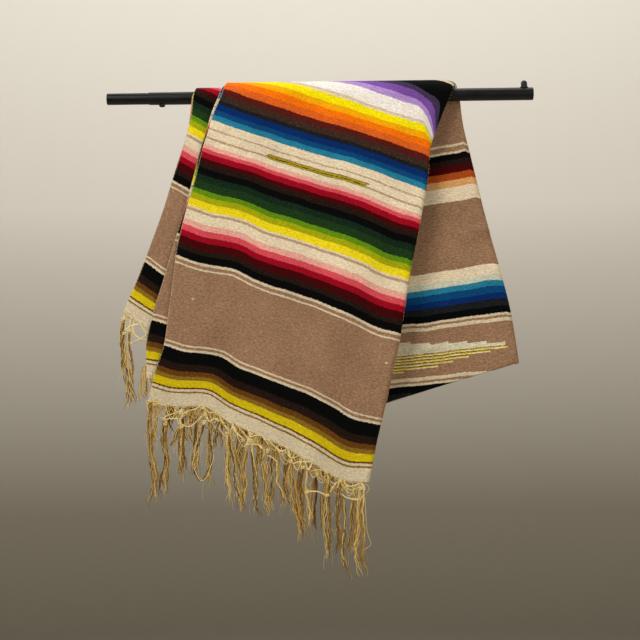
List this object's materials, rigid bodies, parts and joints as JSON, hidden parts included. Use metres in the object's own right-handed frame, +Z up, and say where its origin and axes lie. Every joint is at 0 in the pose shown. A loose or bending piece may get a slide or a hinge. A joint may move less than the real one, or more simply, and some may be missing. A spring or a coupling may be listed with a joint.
{
  "type": "mexican serape on a rail",
  "caption": "Striped wool serape of two joined webs with knotted fringe, folded in four and thrown over a black telescoping rail.",
  "frame": {"origin": "on the rail's axis at the middle of the picture, where the rail carries the serape", "axes": "+X along the rail to the right, -Y towards the viewer, +Z up"},
  "size_m": [0.852, 0.0996, 1.0069],
  "materials": {
    "serape_wool": "weft-faced wool tapestry weave in stripes, matt with a soft nap",
    "fringe_yarn": "unbleached warp yarn, knotted, slightly glossy",
    "rail_black": "black powder coat, semi-gloss"
  },
  "bodies": {
    "root": {"left_web": "serape_wool", "right_web": "serape_wool", "fringe_outer": "fringe_yarn", "fringe_second": "fringe_yarn", "fringe_third": "fringe_yarn", "fringe_inner": "fringe_yarn", "rail_outer_tube": "rail_black", "rail_inner_tube": "rail_black", "snap_button": "rail_black", "end_knob": "rail_black"}
  },
  "joints": []
}
